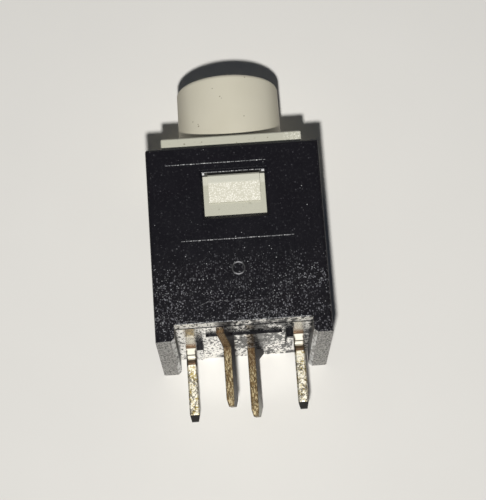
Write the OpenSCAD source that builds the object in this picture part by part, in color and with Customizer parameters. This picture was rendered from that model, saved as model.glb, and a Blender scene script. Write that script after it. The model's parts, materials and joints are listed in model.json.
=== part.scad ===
// Tactile push button switch for a printed board.
// Origin: middle of the board seat, under the housing's legs. +Z is the way the button points.
// The front of the housing, with the mould insert's field, faces -Y.

/* [Housing] */
// Outer side of the square body
body_w = 12; // [11:0.1:13]
// Height of the body, board seat to upper rim
body_h = 13.6; // [12.8:0.1:15]
// Wall round the plunger bay
wall = 1; // [0.7:0.05:1.2]
// Wall round the base and in the legs
foot_wall = 1.3; // [1.2:0.05:1.6]
// Rounding of the body's upright edges
corner_r = 0.25; // [0.1:0.05:0.5]
// Bevel round the upper rim and under the legs
rim_bevel = 0.12; // [0.05:0.01:0.2]
// Height of the legs that stand on the board
leg_h = 1.1; // [1:0.05:1.6]
// Height of the ledge that carries the base
ledge_z = 4.2; // [3.8:0.1:4.6]

/* [Latch windows] */
// Width of each window
window_w = 4.3; // [4:0.1:5]
// Height of each window
window_h = 3.2; // [3:0.1:3.6]
// Housing left standing above the window
window_drop = 1.9; // [1.5:0.1:2.4]
// Bevel round the window's outer edge
window_bevel = 0.18; // [0.05:0.01:0.3]

/* [Front insert mark] */
// Width of the field left by the mould's insert
mark_w = 7.7; // [5:0.1:9]
// Height of the field
mark_h = 4.1; // [3:0.1:5]
// Lower edge of the field above the board seat
mark_z = 2.8; // [2:0.1:4]
// Depth of the field
mark_depth = 0.04; // [0.02:0.01:0.1]

/* [Base] */
// Underside of the base above the board seat
base_z = 1.05; // [0.9:0.05:1.4]
// Thickness of the flange that lies on the ledge
flange_t = 0.9; // [0.8:0.05:1.2]
// Side of the raised pad under the base
pad_w = 5.3; // [4.5:0.1:6]
// How far the pad stands out
pad_t = 0.2; // [0.1:0.05:0.4]
// Length of the guard rib beside each outer terminal
guard_l = 3.6; // [2:0.1:4.4]
// Thickness of the guard ribs
guard_t = 0.45; // [0.3:0.05:0.6]
// How far the guard ribs stand out
guard_h = 0.65; // [0.4:0.05:0.8]
// Gap between each rib and its terminal
guard_gap = 0.08; // [0.04:0.01:0.2]
// Diameter of the two rests that level the dome
rest_d = 0.5; // [0.3:0.05:0.5]

/* [Terminals] */
// Distance between the two outer terminals
outer_pitch = 7.62; // [7.3:0.01:7.9]
// Each outer terminal's distance from the middle line
outer_offset = 1.27; // [0.8:0.01:1.6]
// Reach of the outer tips below the board seat
outer_reach = 4.35; // [3:0.05:5.5]
// Width of the outer terminals
outer_w = 0.72; // [0.6:0.01:1]
// Bevel along their edges
outer_bevel = 0.1; // [0.05:0.01:0.2]
// How far the snap-in kink steps aside
kink = 0.34; // [0.1:0.01:0.5]
// Height of the kink
kink_h = 1.2; // [0.7:0.05:1.25]
// Place of the near inner terminal across the body
near_pin_x = -1.1; // [-1.5:0.05:-0.9]
// Place of the far inner terminal across the body
far_pin_x = 0.6; // [0.3:0.05:1.2]
// Both inner terminals' distance from the middle line
inner_offset = 2.5; // [2.3:0.05:2.7]
// Reach of the inner tips below the board seat
inner_reach = 4.1; // [3:0.05:5.5]
// Width of the inner terminals
inner_w = 0.76; // [0.6:0.01:1.2]
// Thickness of the terminal strip
strip_t = 0.58; // [0.4:0.01:0.65]
// Length of the gusset beside each inner terminal
foot_l = 1.3; // [0.5:0.05:1.3]
// Height of that gusset at its end, below the base
foot_h = 0.3; // [0.2:0.05:0.6]
// Height of that gusset along the terminal
gusset_h = 1; // [0.7:0.05:1.3]
// Length of the coined tips
tip_l = 0.5; // [0.3:0.05:0.9]
// Taper on each edge of the tips
tip_in = 0.12; // [0.1:0.01:0.24]
// Taper on each face of the tips
tip_thin = 0.1; // [0.05:0.01:0.2]

/* [Contacts] */
// Height of the stamped arms inside the base
arm_h = 0.75; // [0.5:0.05:0.85]
// Plastic above the arms
arm_cover = 0.15; // [0.1:0.01:0.25]
// Thickness of the two outer silver strips
rim_contact_t = 0.25; // [0.2:0.01:0.3]
// Length of each silver strip
contact_l = 0.75; // [0.5:0.05:0.9]
// Gap between the two inner arms
arm_gap = 0.5; // [0.3:0.05:0.8]
// Diameter of the snap dome
dome_d = 5.2; // [4.8:0.1:5.4]
// Free height of the dome
dome_h = 0.42; // [0.36:0.01:0.5]
// Thickness of the dome's sheet
dome_t = 0.08; // [0.06:0.01:0.12]
// Travel of the dome before it closes the contact
click = 0.3; // [0.2:0.01:0.34]
// How far inside the dome's edge it stands on the silver
rim_in = 0.2; // [0.1:0.05:0.3]
// Clearance round the dome in its nest
dome_gap = 0.1; // [0.05:0.01:0.2]
// Play of the dome's rim under the ring
dome_play = 0.17; // [0.1:0.01:0.2]

/* [Dome retainer] */
// Thickness of the ring over the dome's rim
ring_t = 0.35; // [0.25:0.05:0.5]
// Lap of the ring over the dome's rim
ring_lap = 0.3; // [0.2:0.05:0.4]
// Width of the ring's rim round the nest
ring_rim = 0.4; // [0.3:0.05:0.6]
// Running gap between the ring and the plunger's skirt
ring_gap = 0.07; // [0.05:0.01:0.15]

/* [Plunger] */
// Running gap between plunger and housing
plunger_gap = 0.08; // [0.04:0.01:0.1]
// Height of the square plate above the housing at rest
plate_rise = 1.1; // [1:0.05:1.4]
// Travel of the button
travel = 0.95; // [0.5:0.05:1]
// Gap left under the skirt when the button is down
stop_gap = 0.1; // [0.05:0.01:0.2]
// Thickness of the plate
plate_t = 1.2; // [0.8:0.1:1.6]
// Thickness of the skirt
skirt_t = 0.85; // [0.7:0.05:1]
// Bevel round the plate's upper edge
plate_bevel = 0.1; // [0.05:0.01:0.2]
// Width of the spring tongue that carries each latch
tongue_w = 5.2; // [4.9:0.1:6]
// Width of the slits beside the tongues
slit_w = 0.35; // [0.25:0.05:0.6]
// Width of the latch wedge
latch_w = 3.6; // [3.2:0.05:3.8]
// Height of the latch wedge
latch_h = 1.9; // [1.4:0.05:2]
// How far the wedge stands out of the skirt
latch_out = 0.68; // [0.3:0.01:0.8]
// Gap between wedge and window at rest
latch_gap = 0.04; // [0.02:0.01:0.1]
// Outer diameter of the guide tube for the pusher
tube_d = 4; // [3.8:0.1:4.6]
// Length of the guide tube below the plate
tube_l = 5.4; // [5:0.1:6]
// Plastic between the tube's bore and the plate's underside
bore_roof = 0.8; // [0.5:0.1:1]

/* [Cap] */
// Diameter of the round cap
cap_d = 7.4; // [6.5:0.1:9]
// Height of the cap
cap_h = 5.05; // [4.3:0.05:6]
// Rounding of the cap's upper edge
cap_round = 0.32; // [0.15:0.01:0.5]
// Thickness of the cap's side
cap_wall = 0.9; // [0.6:0.05:1.2]
// Thickness of the cap's top
cap_top = 0.9; // [0.6:0.05:1.2]
// Spread of the cap towards its foot
cap_draft = 0.05; // [0:0.01:0.1]
// Diameter of the peg that carries the cap
peg_d = 3.2; // [2.6:0.1:3.4]
// Height of the peg
peg_h = 3.4; // [2.6:0.1:3.4]
// Thickness of the socket that grips the peg
socket_wall = 0.55; // [0.4:0.05:0.6]

/* [Pusher] */
// Diameter of the pusher's guide
pusher_d = 2.5; // [2.1:0.1:2.6]
// Running gap between pusher and guide tube
pusher_gap = 0.06; // [0.03:0.01:0.1]
// Diameter of the pusher's nose
nose_d = 1.4; // [1:0.1:1.8]
// Length of the nose
nose_l = 0.9; // [0.8:0.1:1.2]
// Length of the guide
pusher_l = 2.8; // [2.2:0.1:3]

/* [Springs] */
// Mean diameter of the return spring
return_d = 6.6; // [6.2:0.1:6.9]
// Wire of the return spring
return_wire = 0.4; // [0.3:0.05:0.5]
// Working turns of the return spring
return_turns = 5; // [3:1:7]
// Mean diameter of the pusher's spring
inner_spring_d = 1.95; // [1.6:0.05:2]
// Wire of the pusher's spring
inner_wire = 0.24; // [0.15:0.01:0.28]
// Working turns of the pusher's spring
inner_turns = 4; // [3:1:5]

/* [Hidden] */

$fn = 48;
// Clearance between moulded or pressed neighbours
fit = 0.02;
// Overshoot of a cut past the face that it opens
cut = 0.5;
// Rise of a spring's closed end turn, counted in wires
closed_pitch = 1.1;

// Bays inside the housing
bay_w = body_w - 2 * wall;
foot_bay_w = body_w - 2 * foot_wall;
bay_r = corner_r / 2;

// Heights on the base
base_top = ledge_z + flange_t;
arm_top = base_top - arm_cover;
arm_z = arm_top - arm_h;
rim_z = arm_top + rim_contact_t;
crown_z = rim_z + dome_h;
centre_z = crown_z - click;
nest_z = rim_z + dome_t + dome_play;
ring_top = nest_z + ring_t;

// Heights on the plunger
plate_z = body_h + plate_rise;
plate_under = plate_z - plate_t;
plunger_w = bay_w - 2 * plunger_gap;
hollow_w = plunger_w - 2 * skirt_t;
skirt_z = base_top + travel + stop_gap;
window_top = body_h - window_drop;
latch_top = window_top - latch_gap;
tube_z = plate_under - tube_l;
bore_d = pusher_d + 2 * pusher_gap;
bore_top = plate_under - bore_roof;

// Diameters on the dome's nest and its ring, which the plunger's skirt slides over
nest_d = dome_d + 2 * dome_gap;
ring_d = hollow_w - 2 * ring_gap;
nest_wall_d = ring_d - 2 * ring_rim;

// Heights on the pusher, which stands on the dome
pusher_z = crown_z + dome_t;
pusher_top = pusher_z + nose_l + pusher_l;

// Where the outer arms meet the dome's rim, counted across the body
rim_r = dome_d / 2 - rim_in;
rim_x = sqrt(pow(rim_r, 2) - pow(outer_offset, 2));

// The inner terminals share one upright plane, turned from the body's sides
inner_turn = atan2(far_pin_x - near_pin_x, 2 * inner_offset);
inner_mid_x = (far_pin_x + near_pin_x) / 2;
inner_s = norm([(far_pin_x - near_pin_x) / 2, inner_offset]);

// Colours
black = [0.1, 0.1, 0.11];
cream = [0.82, 0.79, 0.7];
grey_cream = [0.72, 0.71, 0.63];
tin = [0.86, 0.85, 0.78];
copper = [0.55, 0.47, 0.33];
silver = [0.85, 0.85, 0.85];
steel = [0.6, 0.61, 0.63];
natural = [0.88, 0.87, 0.82];

// Shared shapes

// Rectangle with round corners
module round_rect(x, y, r) {
    square([x - 2 * r, y], center = true);
    square([x, y - 2 * r], center = true);
    for (sx = [-1, 1], sy = [-1, 1])
        translate([sx * (x / 2 - r), sy * (y / 2 - r)])
            circle(r = r);
}

// Upright block with round corners from one height to another
module round_block(x, y, r, z0, z1) {
    translate([0, 0, z0])
        linear_extrude(z1 - z0)
            round_rect(x, y, r);
}

// Upright box from one height to another
module box(x0, x1, y0, y1, z0, z1) {
    translate([x0, y0, z0])
        cube([x1 - x0, y1 - y0, z1 - z0]);
}

// Bar that cuts a bevel of depth c along X
module bevel_bar(length, c) {
    rotate([45, 0, 0])
        cube([length, c * sqrt(2), c * sqrt(2)], center = true);
}

// Bevel round the four sides of a square block at one height
module bevel_frame(side, z, c) {
    for (turn = [0 : 90 : 270])
        rotate([0, 0, turn])
            translate([0, -side / 2, z])
                bevel_bar(side + cut, c);
}

// Outline of an upright strip whose end is tapered, tip down
function tip_outline(w, taper, z_tip, z_end) = [
    [-w / 2, z_end],
    [-w / 2, z_tip + tip_l],
    [-w / 2 + taper, z_tip],
    [w / 2 - taper, z_tip],
    [w / 2, z_tip + tip_l],
    [w / 2, z_end]
];

// Height along a compression spring: one closed turn at each end
function coil_z(turn, wire, turns, length) =
    let (closed = wire * closed_pitch)
        turn < 1 ? turn * closed
        : turn < turns + 1 ? closed + (turn - 1) * (length - wire - 2 * closed) / turns
        : length - wire - (turns + 2 - turn) * closed;

// One ring of the wire's surface
function coil_ring(turn, mean_d, wire, z, sides) = [
    for (k = [0 : sides - 1])
        let (a = 360 * k / sides, r = mean_d / 2 + wire / 2 * cos(a))
            [r * cos(360 * turn), r * sin(360 * turn), z + wire / 2 * sin(a)]
];

// Compression spring that stands on z0
module coil(mean_d, wire, turns, z0, length, steps, sides) {
    rings = (turns + 2) * steps;
    points = [
        for (i = [0 : rings])
            each coil_ring(i / steps, mean_d, wire, z0 + wire / 2 + coil_z(i / steps, wire, turns, length), sides)
    ];
    skin = [
        for (i = [0 : rings - 1], k = [0 : sides - 1])
            let (a = i * sides + k, b = i * sides + (k + 1) % sides)
                each [[a, b, b + sides], [a, b + sides, a + sides]]
    ];
    first_end = [[for (k = [sides - 1 : -1 : 0]) k]];
    last_end = [[for (k = [0 : sides - 1]) rings * sides + k]];
    polyhedron(points, concat(first_end, skin, last_end), convexity = 12);
}

// Puts what is drawn in XZ into the inner terminals' plane: x runs from the middle outwards
module inner_plane(far) {
    translate([inner_mid_x, 0, 0])
        rotate([0, 0, (far ? 90 : 270) - inner_turn])
            children();
}

// Puts what is drawn in XZ into an outer terminal's plane: x runs from the blade to the middle
module outer_plane(right) {
    side = right ? 1 : -1;
    translate([side * outer_pitch / 2, -side * outer_offset, 0])
        mirror([right ? 1 : 0, 0, 0])
            children();
}

// Plate cut from the strip: an outline in XZ, as thick as the strip
module strip(thickness) {
    translate([0, thickness / 2, 0])
        rotate([90, 0, 0])
            linear_extrude(thickness)
                children();
}

// Parts of the housing

// Opening for a latch, flared at its outer edge
module window_cut() {
    window_z = window_top - window_h;
    flare = window_bevel + cut;
    y0 = -body_w / 2 - cut;
    y1 = -body_w / 2 + window_bevel;
    box(-window_w / 2, window_w / 2, y0, -bay_w / 2 + cut, window_z, window_top);
    intersection() {
        rotate([90, 0, 90])
            linear_extrude(2 * window_w, center = true)
                polygon([[y0, window_z - flare], [y1, window_z], [y1, window_top], [y0, window_top + flare]]);
        translate([0, 0, window_z - 2 * flare])
            linear_extrude(window_h + 4 * flare)
                polygon([
                    [-window_w / 2 - flare, y0],
                    [window_w / 2 + flare, y0],
                    [window_w / 2, y1],
                    [-window_w / 2, y1]
                ]);
    }
}

module housing() {
    color(black)
        difference() {
            round_block(body_w, body_w, corner_r, 0, body_h);
            round_block(bay_w, bay_w, bay_r, ledge_z, body_h + cut);
            round_block(foot_bay_w, foot_bay_w, bay_r, -cut, ledge_z + cut);
            // Gap between the legs, open to the front and the back
            box(-foot_bay_w / 2, foot_bay_w / 2, -body_w, body_w, -cut, leg_h);
            bevel_frame(body_w, body_h, rim_bevel);
            for (side = [-1, 1])
                translate([side * foot_bay_w / 2, 0, 0])
                    rotate([0, 0, 90])
                        bevel_bar(body_w + cut, 2 * rim_bevel);
            for (turn = [0, 180])
                rotate([0, 0, turn])
                    window_cut();
            // Field left by the mould's insert on the front
            box(-mark_w / 2, mark_w / 2, -body_w, -body_w / 2 + mark_depth, mark_z, mark_z + mark_h);
        }
}

// Parts of the base

// Rib that guards the left outer terminal on its inner side
module guard_rib() {
    x0 = (outer_w - outer_pitch) / 2 + guard_gap;
    y0 = outer_offset - guard_l / 2;
    box(x0, x0 + guard_t, y0, y0 + guard_l, base_z - guard_h, ledge_z);
}

// Room for an outer terminal's blade, arm and contact
module outer_room() {
    half = strip_t / 2 + fit;
    arm_end = outer_pitch / 2 - rim_x + contact_l / 2;
    box(-outer_w / 2 - fit, outer_w / 2 + fit, -half, half, -cut, arm_top + fit);
    box(0, arm_end + fit, -half, half, arm_z - fit, arm_top + fit);
    box(arm_end - contact_l - fit, arm_end + fit, -half, half, arm_z, nest_z);
}

// Room for an inner terminal's blade, arm, gusset and contact
module inner_room() {
    half = strip_t / 2 + fit;
    box(inner_s - inner_w / 2 - fit, inner_s + inner_w / 2 + fit, -half, half, -cut, arm_top + fit);
    box(inner_s, inner_s + inner_w / 2 + foot_l + fit, -half, half, -cut, base_z);
    box(arm_gap / 2 - fit, inner_s, -half, half, arm_z - fit, arm_top + fit);
    box(arm_gap / 2 - fit, arm_gap / 2 + contact_l + fit, -half, half, arm_z, nest_z);
}

module base() {
    block_w = foot_bay_w - 2 * fit;
    flange_w = bay_w - 2 * fit;
    pad_r = 0.2;
    rest_turn = 35;
    color(black)
        difference() {
            union() {
                round_block(block_w, block_w, bay_r, base_z, ledge_z);
                round_block(flange_w, flange_w, bay_r, ledge_z, base_top);
                round_block(pad_w, pad_w, pad_r, base_z - pad_t, ledge_z);
                for (turn = [0, 180])
                    rotate([0, 0, turn])
                        guard_rib();
                // Wall of the dome's nest
                translate([0, 0, ledge_z])
                    difference() {
                        cylinder(d = nest_wall_d, h = nest_z - ledge_z);
                        translate([0, 0, flange_t])
                            cylinder(d = nest_d, h = nest_z);
                    }
                // Two rests that level the dome between its contacts
                for (turn = [0, 180])
                    rotate([0, 0, rest_turn + turn])
                        translate([rim_r, 0, ledge_z])
                            cylinder(d = rest_d, h = rim_z - ledge_z);
            }
            for (right = [false, true])
                outer_plane(right)
                    outer_room();
            for (far = [false, true])
                inner_plane(far)
                    inner_room();
        }
}

// Parts of the terminals

// Side view of the kinked blade above its straight shank, in YZ
function kink_outline(z_low) =
    let (y = strip_t / 2, root_z = base_z - 0.1 * kink_h, crest_z = base_z - 0.65 * kink_h, crest_l = 0.05 * kink_h)
        [
            [-y, arm_top],
            [-y, root_z],
            [kink - y, crest_z],
            [kink - y, crest_z - crest_l],
            [-y, z_low],
            [y, z_low],
            [kink + y, crest_z - crest_l],
            [kink + y, crest_z],
            [y, root_z],
            [y, arm_top]
        ];

// Cross-section of the shank, with its long edges bevelled
module shank_section() {
    x = outer_w / 2;
    y = strip_t / 2;
    b = outer_bevel;
    polygon([[-x, b - y], [-x, y - b], [b - x, y], [x - b, y], [x, y - b], [x, b - y], [x - b, -y], [b - x, -y]]);
}

module outer_terminal(right) {
    z_tip = -outer_reach;
    z_low = base_z - kink_h;
    arm_end = outer_pitch / 2 - rim_x + contact_l / 2;
    outer_plane(right) {
        // Shank with its coined tip
        intersection() {
            translate([0, 0, z_tip])
                linear_extrude(z_low - z_tip)
                    shank_section();
            strip(2 * outer_w)
                polygon(tip_outline(outer_w, tip_in, z_tip, z_low));
            rotate([0, 0, 90])
                strip(2 * outer_w)
                    polygon(tip_outline(strip_t, tip_thin, z_tip, z_low));
        }
        // Kinked part and blade
        translate([-outer_w / 2, 0, 0])
            rotate([90, 0, 90])
                linear_extrude(outer_w)
                    polygon(kink_outline(z_low));
        // Arm to the dome's rim
        box(0, arm_end, -strip_t / 2, strip_t / 2, arm_z, arm_top);
    }
}

module outer_left_terminal() {
    color(tin)
        outer_terminal(right = false);
}

module outer_right_terminal() {
    color(tin)
        outer_terminal(right = true);
}

// Face of an inner terminal: shank, gusset and arm, cut from the strip in one piece
module inner_outline() {
    x0 = inner_s - inner_w / 2;
    x1 = inner_s + inner_w / 2;
    polygon([
        [x0 + tip_in, -inner_reach],
        [x0, tip_l - inner_reach],
        [x0, arm_z],
        [arm_gap / 2, arm_z],
        [arm_gap / 2, arm_top],
        [x1, arm_top],
        [x1, base_z],
        [x1 + foot_l, base_z],
        [x1 + foot_l, base_z - foot_h],
        [x1, base_z - gusset_h],
        [x1, tip_l - inner_reach],
        [x1 - tip_in, -inner_reach]
    ]);
}

module inner_terminal(far) {
    inner_plane(far)
        intersection() {
            strip(strip_t)
                inner_outline();
            rotate([0, 0, 90])
                strip(4 * inner_s)
                    polygon(tip_outline(strip_t, tip_thin, -inner_reach, arm_top));
        }
}

module inner_near_terminal() {
    color(copper)
        inner_terminal(far = false);
}

module inner_far_terminal() {
    color(copper)
        inner_terminal(far = true);
}

// Parts of the contacts

// Silver strip on an outer arm, under the dome's rim
module rim_contact(right) {
    x0 = outer_pitch / 2 - rim_x - contact_l / 2;
    outer_plane(right)
        box(x0, x0 + contact_l, -strip_t / 2, strip_t / 2, arm_top, rim_z);
}

module left_rim_contact() {
    color(silver)
        rim_contact(right = false);
}

module right_rim_contact() {
    color(silver)
        rim_contact(right = true);
}

// Silver block on an inner arm, under the dome's crown
module centre_contact(far) {
    inner_plane(far)
        box(arm_gap / 2, arm_gap / 2 + contact_l, -strip_t / 2, strip_t / 2, arm_top, centre_z);
}

module near_centre_contact() {
    color(silver)
        centre_contact(far = false);
}

module far_centre_contact() {
    color(silver)
        centre_contact(far = true);
}

// Shallow spherical dome that stands on its rim
module snap_dome() {
    radius = (pow(dome_d / 2, 2) + pow(dome_h, 2)) / (2 * dome_h);
    spread = asin(dome_d / 2 / radius);
    steps = 8;
    z_mid = crown_z - radius;
    arc = [for (i = [0 : steps]) spread * i / steps];
    color(steel)
        rotate_extrude()
            polygon(concat(
                [for (a = arc) [radius * sin(a), z_mid + radius * cos(a)]],
                [for (i = [steps : -1 : 0])
                    [(radius + dome_t) * sin(arc[i]), z_mid + (radius + dome_t) * cos(arc[i])]]
            ));
}

// Ring that keeps the dome in its nest and carries the return spring
module dome_retainer() {
    edge = 0.1;
    color(natural)
        rotate_extrude()
            polygon([
                [dome_d / 2 - ring_lap, nest_z],
                [nest_wall_d / 2 + fit, nest_z],
                [nest_wall_d / 2 + fit, base_top + fit],
                [ring_d / 2, base_top + fit],
                [ring_d / 2, ring_top - edge],
                [ring_d / 2 - edge, ring_top],
                [dome_d / 2 - ring_lap, ring_top]
            ]);
}

// Springs and pusher

module return_spring() {
    color(steel)
        coil(return_d, return_wire, return_turns, ring_top, plate_under - ring_top, 20, 8);
}

module pusher_spring() {
    color(steel)
        coil(inner_spring_d, inner_wire, inner_turns, pusher_top, bore_top - pusher_top, 16, 6);
}

module pusher() {
    edge = 0.12;
    guide_z = pusher_z + nose_l;
    pip_gap = 0.2;
    pip_h = 0.45;
    pip_r = (inner_spring_d - inner_wire) / 2 - pip_gap;
    color(natural)
        rotate_extrude()
            polygon([
                [0, pusher_z],
                [nose_d / 2 - edge, pusher_z],
                [nose_d / 2, pusher_z + edge],
                [nose_d / 2, guide_z],
                [pusher_d / 2 - edge, guide_z],
                [pusher_d / 2, guide_z + edge],
                [pusher_d / 2, pusher_top - edge],
                [pusher_d / 2 - edge, pusher_top],
                [pip_r, pusher_top],
                [pip_r, pusher_top + pip_h],
                [0, pusher_top + pip_h]
            ]);
}

// Parts of the plunger

// Wedge that catches under the upper edge of the front window
module latch() {
    nose = 0.14;
    heel = 0.1;
    face_h = 0.3 * latch_h;
    y0 = -plunger_w / 2;
    translate([-latch_w / 2, 0, latch_top])
        rotate([90, 0, 90])
            linear_extrude(latch_w)
                polygon([
                    [y0 + skirt_t / 2, 0],
                    [y0 - latch_out + nose, 0],
                    [y0 - latch_out, -nose],
                    [y0 - latch_out, -face_h],
                    [y0 - heel, -latch_h],
                    [y0 + skirt_t / 2, -latch_h]
                ]);
}

module plunger() {
    hollow_r = 0.3;
    tongue_root = 0.9;
    slit_top = plate_under - tongue_root;
    color(grey_cream) {
        difference() {
            round_block(plunger_w, plunger_w, bay_r, skirt_z, plate_z);
            round_block(hollow_w, hollow_w, hollow_r, skirt_z - cut, plate_under);
            bevel_frame(plunger_w, plate_z, plate_bevel);
            // Slits that free the two tongues
            for (side = [-1, 1])
                translate([side * (tongue_w + slit_w) / 2, 0, 0])
                    box(-slit_w / 2, slit_w / 2, -body_w, body_w, skirt_z - cut, slit_top);
        }
        for (turn = [0, 180])
            rotate([0, 0, turn])
                latch();
        // Tube that guides the pusher
        translate([0, 0, tube_z])
            difference() {
                cylinder(d = tube_d, h = plate_under - tube_z + plate_t / 2);
                translate([0, 0, -cut])
                    cylinder(d = bore_d, h = bore_top - tube_z + cut);
            }
        // Peg for the cap
        translate([0, 0, plate_z - plate_t / 2])
            cylinder(d = peg_d, h = peg_h + plate_t / 2);
    }
}

// Parts of the cap

// Half section of the cap's outside
module cap_profile() {
    r = cap_d / 2;
    polygon([
        [0, 0],
        [r + cap_draft, 0],
        [r, cap_h - cap_round],
        [0, cap_h - cap_round]
    ]);
    translate([r - cap_round, cap_h - cap_round])
        intersection() {
            circle(r = cap_round);
            square(cap_round);
        }
    translate([0, cap_h - cap_round])
        square([r - cap_round, cap_round]);
}

module cap() {
    roof_gap = 0.1;
    color(cream)
        translate([0, 0, plate_z]) {
            difference() {
                rotate_extrude()
                    cap_profile();
                translate([0, 0, -cut])
                    cylinder(d = cap_d - 2 * cap_wall, h = cap_h - cap_top + cut);
            }
            difference() {
                cylinder(d = peg_d + 2 * socket_wall, h = cap_h - cap_top / 2);
                translate([0, 0, -cut])
                    cylinder(d = peg_d + 2 * fit, h = peg_h + roof_gap + cut);
            }
        }
}

housing();
base();
outer_left_terminal();
outer_right_terminal();
inner_near_terminal();
inner_far_terminal();
left_rim_contact();
right_rim_contact();
near_centre_contact();
far_centre_contact();
snap_dome();
dome_retainer();
return_spring();
pusher();
pusher_spring();
plunger();
cap();
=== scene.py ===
# Looks of a tactile push button switch: a cream button over a black housing with four terminals
import json
import math
import random

import bmesh
import bpy
from mathutils import Matrix, Vector


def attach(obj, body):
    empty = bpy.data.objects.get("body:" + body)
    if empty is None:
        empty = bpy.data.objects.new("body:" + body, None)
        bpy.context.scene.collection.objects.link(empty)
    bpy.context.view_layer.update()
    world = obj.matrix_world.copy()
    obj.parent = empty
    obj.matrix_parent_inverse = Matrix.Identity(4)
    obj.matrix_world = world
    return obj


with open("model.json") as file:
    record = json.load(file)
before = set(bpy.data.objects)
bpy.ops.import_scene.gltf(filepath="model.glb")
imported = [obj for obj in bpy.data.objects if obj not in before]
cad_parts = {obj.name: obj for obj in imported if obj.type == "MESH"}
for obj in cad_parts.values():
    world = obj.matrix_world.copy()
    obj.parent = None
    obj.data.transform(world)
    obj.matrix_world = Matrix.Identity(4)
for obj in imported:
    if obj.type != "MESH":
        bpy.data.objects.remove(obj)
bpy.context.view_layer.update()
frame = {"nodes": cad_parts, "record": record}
nodes = frame["nodes"]
mm = 0.001
downward = (0.0, 0.0, -1.0)
print("frame loaded with", len(nodes), "nodes")


# Helpers for node trees

def feed(tree, socket, value):  # links another socket, or sets a plain value
    if isinstance(value, bpy.types.NodeSocket):
        tree.links.new(value, socket)
    else:
        socket.default_value = value


def addNode(tree, kind, inputs=None, **options):  # gives the new node's outputs
    made = tree.nodes.new("ShaderNode" + kind)
    for option, value in options.items():
        setattr(made, option, value)
    for socket, value in (inputs or {}).items():
        feed(tree, made.inputs[socket], value)
    return made.outputs


def calc(tree, operation, *values, clamp=False):
    return addNode(tree, "Math", dict(enumerate(values)), operation=operation, use_clamp=clamp)[0]


def times(tree, first, *others):
    for value in others:
        first = calc(tree, "MULTIPLY", first, value)
    return first


def between(tree, mask, low, high):  # low where the mask is 0 and high where it is 1
    return calc(tree, "MULTIPLY_ADD", mask, high - low, low)


def ramp(tree, value, low, high, start=0.0, end=1.0):  # eases from start to end as the value goes low to high
    limits = {"Value": value, "From Min": low, "From Max": high, "To Min": start, "To Max": end}
    return addNode(tree, "MapRange", limits, interpolation_type="SMOOTHSTEP")["Result"]


def vectorCalc(tree, operation, *values):
    made = addNode(tree, "VectorMath", dict(enumerate(values)), operation=operation)
    return made["Value" if operation in ("DOT_PRODUCT", "DISTANCE", "LENGTH") else "Vector"]


def axes(tree, vector):
    return addNode(tree, "SeparateXYZ", {0: vector})


def noise(tree, vector, scale, detail=2.0, roughness=0.5):
    inputs = {"Vector": vector, "Scale": scale, "Detail": detail, "Roughness": roughness}
    return addNode(tree, "TexNoise", inputs)


def linear(colour):  # a screen colour, 0 to 255, as the linear colour that a shader takes
    parts = [part / 255 for part in colour]
    parts = [part / 12.92 if part < 0.04045 else ((part + 0.055) / 1.055) ** 2.4 for part in parts]
    return (*parts, 1.0)


def mixColours(tree, amount, low, high):
    return addNode(tree, "Mix", {0: amount, 6: low, 7: high}, data_type="RGBA")[2]


def mixTones(tree, amount, low, high):
    return mixColours(tree, amount, linear(low), linear(high))


def lay(tree, colour, mask, tone):  # the screen colour tone over the colour, where the mask is 1
    return mixColours(tree, mask, colour, linear(tone))


def startGroup(name, inputs, outputs):
    tree = bpy.data.node_groups.new(name, "ShaderNodeTree")
    for side, labels in (("INPUT", inputs), ("OUTPUT", outputs)):
        for label in labels:
            kind = "NodeSocketVector" if label in ("Vector", "Normal") else "NodeSocketFloat"
            tree.interface.new_socket(label, in_out=side, socket_type=kind)
    return tree, tree.nodes.new("NodeGroupInput").outputs, tree.nodes.new("NodeGroupOutput").inputs


def useGroup(tree, group, **inputs):
    return addNode(tree, "Group", inputs, node_tree=group)


def maskOf(tree, group, place, settings, **more):
    return useGroup(tree, group, Vector=place, **settings, **more)["Mask"]


# Shared surface effects, each built once as a node group; lengths in them are millimetres

effectLook = {
    "cloudShare": 0.08,  # scale of the broad cloud against the fine grain
    "speckEase": 0.5,  # a speck is full from this far in, as a share of its radius
    "speckLeast": 0.3,  # strength of the faintest speck
    "scratchWave": 0.5,  # scale of the scratches' waviness
    "scratchSpread": 0.2,  # scratches lie this close, as a share of one over their width
    "scratchLine": (0.12, 0.04),  # half widths where a scratch starts and is full
    "edgeSamples": 6,
    "edgeTurn": (0.995, 0.85),  # cosines of the turn where the edge mask starts and is full
}


def buildGrain():  # fine moulded or rolled grain, and a broad cloud
    tree, inputs, outputs = startGroup("fineGrain", ("Vector", "Size"), ("Height", "Cloud"))
    scale = calc(tree, "DIVIDE", 1.0, inputs["Size"])
    fine = noise(tree, inputs["Vector"], scale, detail=3.0, roughness=0.6)
    broad = noise(tree, inputs["Vector"], times(tree, scale, effectLook["cloudShare"]))
    tree.links.new(fine[0], outputs["Height"])
    tree.links.new(broad[0], outputs["Cloud"])
    return tree


def buildSpecks():  # scattered round specks of random strength
    tree, inputs, outputs = startGroup(
        "scatteredSpecks", ("Vector", "Spacing", "Radius", "Share"), ("Mask",))
    scale = calc(tree, "DIVIDE", 1.0, inputs["Spacing"])
    cells = addNode(tree, "TexVoronoi", {"Vector": inputs["Vector"], "Scale": scale})
    reach = calc(tree, "DIVIDE", inputs["Radius"], inputs["Spacing"])
    near = calc(tree, "SUBTRACT", 1.0, calc(tree, "DIVIDE", cells["Distance"], reach), clamp=True)
    dot = ramp(tree, near, 0.0, effectLook["speckEase"])
    chance = addNode(tree, "SeparateColor", {0: cells["Color"]})
    kept = calc(tree, "LESS_THAN", chance[0], inputs["Share"])
    strength = between(tree, chance[1], effectLook["speckLeast"], 1.0)
    tree.links.new(times(tree, dot, kept, strength), outputs["Mask"])
    return tree


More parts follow.
